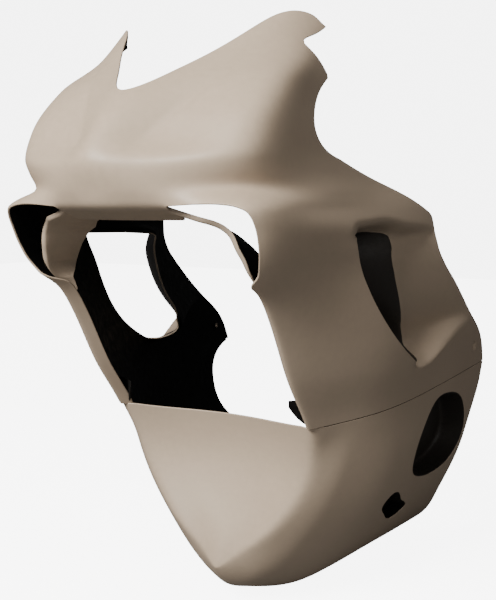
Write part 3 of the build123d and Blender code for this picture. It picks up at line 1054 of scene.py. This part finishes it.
@dataclass
class BellyPan:
    """Keel, sides and closed front dam, in mm. Ribs are rows of (x, z) on the rider's left."""

    skin: UpperMoulding
    stations: tuple[float, ...] = (-150, -100, -40, 60, 200, 400)
    ribs: tuple[Line, ...] = (
        ((0, -382), (0, -405), (0, -440), (0, -466), (0, -461), (0, -455)),
        ((6, -380), (14, -396), (28, -432), (52, -459), (68, -452), (86, -448)),
        ((30, -352), (40, -366), (68, -404), (105, -426), (134, -422), (160, -423)),
        ((62, -316), (78, -321), (117, -346), (161, -359), (189, -357), (208, -362)),
        ((96, -268), (114, -268), (158, -282), (203, -287), (223, -289), (235, -292)),
        ((124, -212), (141, -212), (184, -215), (221, -219), (239, -221), (251, -226)),
    )
    joins: Spot = (-150.0, -100.0)
    dam: Line = (
        (-90, -98), (-125, -80), (-160, -65), (-195, -54), (-230, -50), (-265, -55), (-300, -66),
        (-335, -81), (-370, -99), (-405, -122), (-440, -150), (-475, -182))
    dam_radius: float = 304.4
    dam_top: float = -163.5
    dam_shoulder: float = 9.0
    dam_half: float = 156.0
    dam_rear: float = -40.0
    tail: Line = (
        (369, -127), (360, -173), (341, -226), (331, -272), (318, -315), (316, -350),
        (338, -400), (343, -475))
    oval: Line = (
        (227, -158), (176, -163), (144, -196), (127, -231), (128, -264), (177, -292), (238, -298),
        (300, -284), (326, -248), (318, -215), (285, -176))
    leaf: Line = (
        (117, -303), (90, -299), (80, -313), (104, -338), (125, -352), (160, -358),
        (176, -345), (142, -322))
    exhaust: Line = (
        (372, -126), (331, -138), (298, -165), (291, -200), (302, -240), (345, -285))
    span: Spot = (-150.0, 400.0)
    blend_from: float = -185.0
    blend_run: float = 25.0
    fold_reach: float = 30.0
    keel_tip: Row = (0.0, -112.0, -394.0)
    tip_reach: float = 58.0
    tip_pull: Row = (0.0, 1.42, 0.34)
    turns: int = 26
    tip_turns: int = 120
    side_from: float = 40.0
    mesh: tuple[int, int, int, int] = (221, 96, 92, 61)
    cell: float = 0.02

    def hull(self, y: float, shares: np.ndarray) -> np.ndarray:
        """Outline of the pan's left half at a place along it, from the keel up."""
        left = standing([[(s, *spot) for s, spot in zip(self.stations, rib)]
                         for rib in self.ribs], y)
        for z in self.joins:
            left.append((float(self.skin.side_x(np.array([y]), np.array([z]))[0]), z))
        return mirrored(left, shares)

    def dam_y(self, x: np.ndarray, z: np.ndarray) -> np.ndarray:
        """The dam's face at places across it."""
        height, y = zip(*self.dam[::-1])
        back = fair(list(zip(height, y)), np.linspace(0, len(y) - 1, 200))
        sweep = self.dam_radius - np.sqrt(np.maximum(self.dam_radius**2 - x**2, 1.0))
        return np.interp(z, back[:, 0], back[:, 1]) - sweep

    def grid(self) -> tuple[np.ndarray, int]:
        """Rows from the keel up; each runs from the left tail round the dam to the right tail."""
        stations, rows_up, sides, front = self.mesh
        places = np.linspace(*self.span, stations)
        shares = np.linspace(0, len(self.ribs) + 1, rows_up)
        lines = np.array([self.hull(float(y), shares) for y in places])
        rows = []
        for k in range(len(shares)):
            x, z = lines[:, k, 0], lines[:, k, 1]
            blend = eased((z - self.blend_from) / self.blend_run)
            x = x * (1 - blend) + self.skin.side_x(places, z) * blend
            gap = places - self.dam_y(x, z)
            start = int(np.argmax(gap > 0))
            if start == 0:
                fold = places[0]
            else:
                a, b = gap[start - 1], gap[start]
                fold = places[start - 1] + (places[start] - places[start - 1]) * (-a) / (b - a)
            along = fold + (places[-1] - fold) * np.linspace(0, 1, sides) ** 1.15
            left = np.column_stack([np.interp(along, places, x), along,
                                    np.interp(along, places, z)])
            corner = left[0]
            across = np.linspace(corner[0], -corner[0], front)[1:-1]
            face = np.column_stack([across, self.dam_y(across, np.full(len(across), corner[2])),
                                    np.full(len(across), corner[2])])
            if len(face):
                slip = corner[1] - self.dam_y(corner[:1], corner[2:])[0]
                face[:, 1] += slip * (np.abs(across) / max(corner[0], 1.0)) ** 2
            right = left * np.array([-1, 1, 1])
            rows.append(np.vstack([left[::-1], face, right]))
        return np.array(rows), sides

    def side_x(self, y: np.ndarray, z: np.ndarray) -> np.ndarray:
        """Half width of the pan at places on its side."""
        found = []
        for place, height in zip(y, z):
            line = self.hull(float(place), np.linspace(0, len(self.ribs) + 1, 140))
            found.append(float(np.interp(height, line[:, 1], line[:, 0])))
        return np.array(found)

    def build(self) -> Sheet:
        """The finished sheet of the pan."""
        grid, sides = self.grid()
        folds = np.zeros(grid.shape[:2])
        corner = grid[:, sides - 1, :]
        for column in range(grid.shape[1]):
            side = np.sign(grid[:, column, :1] * corner[:, :1] + 1e-9) ** np.array([1, 0, 0])
            near = np.linalg.norm(grid[:, column, :] - corner * side, axis=1)
            folds[:, column] = np.exp(-((near / self.fold_reach) ** 2) * 1.5)
        self.round_tip(grid, corner)
        sheet = Sheet.from_grid(grid, flipped=True)
        keys = dict(zip(map(tuple, self.cells(sheet.points)), folds.ravel()))
        sheet.weld(self.cell)
        weight = np.array([keys.get(key, 0.2) for key in map(tuple, self.cells(sheet.points))])
        sheet.relax(np.clip(weight, 0.15, 1.0), self.turns)
        away = np.linalg.norm(sheet.points - np.array(self.keel_tip), axis=1)
        sheet.relax(np.clip(1.2 - away / self.tip_reach, 0.0, 1.0), self.tip_turns)
        self.trim(sheet)
        return sheet

    def cells(self, points: np.ndarray) -> np.ndarray:
        """The small cell of space that each point lies in, as three counts."""
        return np.round(points / self.cell).astype(int)

    def round_tip(self, grid: np.ndarray, corner: np.ndarray) -> None:
        """Rounds the keel's front tip by drawing points near the dam's corner back and up."""
        points = grid.reshape(-1, 3)
        distance = np.linalg.norm(points - np.array(self.keel_tip), axis=1)
        near = np.flatnonzero(distance < self.tip_reach * 2.4)
        spots = points[near]
        corners = np.vstack([corner, corner * np.array([-1, 1, 1])])
        away = np.linalg.norm(spots[:, None, :] - corners[None], axis=2).min(axis=1)
        short = np.clip(self.tip_reach - away, 0, None) ** 2 / (4 * self.tip_reach)
        short *= 1 - eased(np.abs(spots[:, 0]) / (self.tip_reach * 1.6))
        points[near] = spots + short[:, None] * np.array(self.tip_pull)

    def trim(self, sheet: Sheet) -> None:
        """Cuts the sheet to its outlines."""
        p = sheet.points
        seam = Seam()
        reach = np.abs(p[:, 0])
        dam_top = self.dam_top + self.dam_shoulder * (reach / self.dam_half) ** 4
        on_dam = (p[:, 1] < self.dam_rear) & (reach < self.dam_half)
        top = seam.height(p[:, 1])
        top = np.where(on_dam, np.minimum(dam_top, top), top)
        sheet.clip(top - self.skin.seam_gap / 2 - p[:, 2])
        tail = drawn(self.tail) + [(500, -475), (500, -90), (370, -90)]
        sheet.clip(outside(sheet.points[:, 1:], tail))
        exhaust = drawn(self.exhaust) + [(460, -285), (460, -110), (372, -110)]
        for edge, side in ((ring(self.oval), Side.LEFT), (ring(self.leaf), Side.LEFT),
                           (exhaust, Side.RIGHT)):
            p = sheet.points
            sheet.clip(np.where(p[:, 0] * side.value > self.side_from, outside(p[:, 1:], edge), UNCUT))

    def make(self, finishes: Finishes) -> bpy.types.Object:
        """Makes the pan's object."""
        obj = self.build().laminate("belly_pan_moulding")
        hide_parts("belly_pan")
        return dressed(obj, finishes)


@dataclass
class Pocket:
    """A closed recess in the pan's left side behind an opening of the hull, dark inside: dark
    laminate, or painted shade of the gel coat.
    """

    name: str
    pan: BellyPan
    outline: Line
    depth: float
    corner: float = 9.0
    inset: float = 1.5

    def make(self, finishes: Finishes) -> bpy.types.Object:
        """Makes the recess's object."""
        loop = np.array(ring(self.outline, 12))
        middle = loop.mean(axis=0)
        brim = self.pan.side_x(loop[:, 0], loop[:, 1])
        brim = brim - self.inset
        rows = [np.column_stack([brim - share * (self.depth - self.corner), loop])
                for share in np.linspace(0, 1, 12)]
        size = np.linalg.norm(loop - middle, axis=1).mean()
        for angle in np.linspace(0, math.pi / 2, 6)[1:]:
            scale = 1 - self.corner * (1 - math.cos(angle)) / size
            sink = self.depth - self.corner + self.corner * math.sin(angle)
            rows.append(np.column_stack([brim - sink, middle + (loop - middle) * scale]))
        last = rows[-1]
        for scale in np.linspace(0.9, 0.02, 14):
            flat = last[:, 0] * scale + last[:, 0].mean() * (1 - scale)
            rows.append(np.column_stack([flat, middle + (last[:, 1:] - middle) * scale]))
        grid = np.array(rows)
        grid = np.concatenate([grid, grid[:, :1]], axis=1)
        sheet = Sheet.from_grid(grid, flipped=True)
        sheet.weld(0.01)
        return dressed(sheet.laminate(self.name, 2.4, 0.4), finishes)


@dataclass
class LapLip:
    """The pan's raised lip on one side, lapping inside the upper moulding."""

    side: Side
    skin: UpperMoulding
    inset: float = 3.4
    below: float = 8.0
    above: float = 36.0
    tail: float = 358.0
    nose: float = -88.0
    tip: Row = (133.0, -120.0, -119.0)
    tail_below: float = 2.0
    tail_above: float = 14.0
    narrowing: Spot = (265.0, 295.0)
    tip_close: float = 0.75

    def make(self, finishes: Finishes) -> bpy.types.Object:
        """Makes the lip's object."""
        seam = Seam()
        y = np.linspace(self.tail, self.nose, 110)
        full, slim = self.narrowing
        narrow = eased((y - full) / (slim - full))
        below = self.below + (self.tail_below - self.below) * narrow
        above = self.above + (self.tail_above - self.above) * narrow
        turn = np.linspace(0, 1, 9)[1:]
        rows = []
        for share in np.linspace(0, 1, 12):
            z = seam.height(y) - below + share * (above + below)
            x = self.skin.side_x(y, z)
            slant = np.gradient(x, y)
            x = x - self.inset * np.sqrt(1 + slant**2)
            low = seam.height(y[-1]) + 2.0
            end_x = x[-1] + (self.tip[0] - x[-1]) * turn
            end_y = y[-1] + (self.tip[1] - y[-1]) * turn**1.3
            end_z = z[-1] + (low + share * (self.tip[2] - low) - z[-1]) * turn**0.5
            end_z += (self.tip[2] - end_z) * self.tip_close * turn**3
            rows.append(np.column_stack([np.append(x, end_x) * self.side.value, np.append(y, end_y),
                                         np.append(z, end_z)]))
        sheet = Sheet.from_grid(np.array(rows), flipped=self.side is Side.RIGHT)
        obj = sheet.laminate(f"{self.side.name.lower()}_lap_lip", 2.6, 0.6)
        return dressed(obj, finishes)


# Studio


def aimed(name: str, data: bpy.types.ID, place: Row, gaze: Sequence[float]) -> bpy.types.Object:
    """Puts a camera or a lamp in the studio, looking along its gaze."""
    obj = bpy.data.objects.new(name, data)
    obj.location = place
    obj.rotation_mode = "QUATERNION"
    obj.rotation_quaternion = Vector(gaze).to_track_quat("-Z", "Y")
    bpy.context.scene.collection.objects.link(obj)
    return obj


@dataclass(frozen=True)
class Lamp:
    """A soft area lamp aimed at the fairing."""

    name: str
    place: Row
    size: float
    power: float
    colour: tuple[float, float, float] = (1.0, 0.985, 0.96)

    def hang(self) -> None:
        """Puts the lamp in the studio."""
        data = bpy.data.lights.new(self.name, "AREA")
        data.size = self.size
        data.energy = self.power
        data.color = self.colour
        aimed(self.name, data, self.place, -Vector(self.place))


@dataclass(frozen=True)
class Studio:
    """Camera, lamps, floor and pale surroundings; places are in the frame's metres."""

    eye: Row = (0.6830, -1.1805, 0.1827)
    gaze: Row = (-0.4971, 0.8610, -0.1078)
    focal: float = 53.87
    sensor: float = 36.0
    seen_light: float = 6.0
    cast_light: float = 0.09
    floor_reach: float = 6.0
    lamps: tuple[Lamp, ...] = (
        Lamp("key_lamp", (-0.35, -2.7, 1.9), 1.3, 225.0),
        Lamp("fill_lamp", (1.9, -2.1, 1.3), 1.6, 16.0),
    )

    def set_up(self) -> None:
        """Makes the studio round the fairing."""
        data = bpy.data.cameras.new("camera")
        data.sensor_width = self.sensor
        data.lens = self.focal
        bpy.context.scene.camera = aimed("camera", data, self.eye, self.gaze)
        for lamp in self.lamps:
            lamp.hang()
        self.surroundings()
        self.floor()

    def surroundings(self) -> None:
        """A white backdrop that lights the fairing only softly."""
        world = bpy.data.worlds.new("surroundings")
        bpy.context.scene.world = world
        world.use_nodes = True
        recipe = Recipe(world.node_tree)
        power = recipe.spread(recipe.seen(), 0.0, 1.0, self.cast_light, self.seen_light)
        recipe.fill(recipe.tree.nodes["Background"], {"Color": (1, 1, 1, 1), "Strength": power})

    def floor(self) -> None:
        """A pale floor just under the keel."""
        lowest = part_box("belly_pan")[0][2] - 0.001
        reach = self.floor_reach
        mesh = bpy.data.meshes.new("floor")
        corners = [(-reach, -reach, 0), (reach, -reach, 0), (reach, reach, 0), (-reach, reach, 0)]
        mesh.from_pydata(corners, [], [(0, 1, 2, 3)])
        floor = bpy.data.objects.new("floor", mesh)
        floor.location.z = lowest
        floor.data.materials.append(Ground().material("pale_floor"))
        bpy.context.scene.collection.objects.link(floor)


def main() -> None:
    """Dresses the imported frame."""
    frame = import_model()
    log.info("frame with %d nodes", len(frame["nodes"]))
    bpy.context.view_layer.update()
    finishes = [
        GelCoat().material("gel_coat"),
        GelCoat(roughness=0.5).material("trimmed_edge"),
        Laminate().material("laminate"),
        # painted shade: a dark copy of the gel coat for the vents' throats and the oval recess
        GelCoat((0.021, 0.016, 0.012), (0.016, 0.012, 0.009), 0.6).material("thin_gel_coat"),
    ]
    skin = UpperMoulding()
    skin.make(finishes)
    pan = BellyPan(skin)
    pan.make(finishes)
    dark = [finishes[Face.INNER.value]] * len(Face)
    # deep is the painted shade finish, a dark copy of the gel coat, used on every face of the oval
    # recess
    deep = [finishes[Face.THIN.value]] * len(Face)
    Pocket("oval_recess", pan, pan.oval, 45.0).make(deep)
    Pocket("leaf_recess", pan, pan.leaf, 24.0, 5.0).make(dark)
    for side in Side:
        IntakeWall(side).make(finishes)
        LapLip(side, skin).make(dark)
    Studio().set_up()


if __name__ == "__main__":
    logging.basicConfig(level=logging.INFO)
    main()
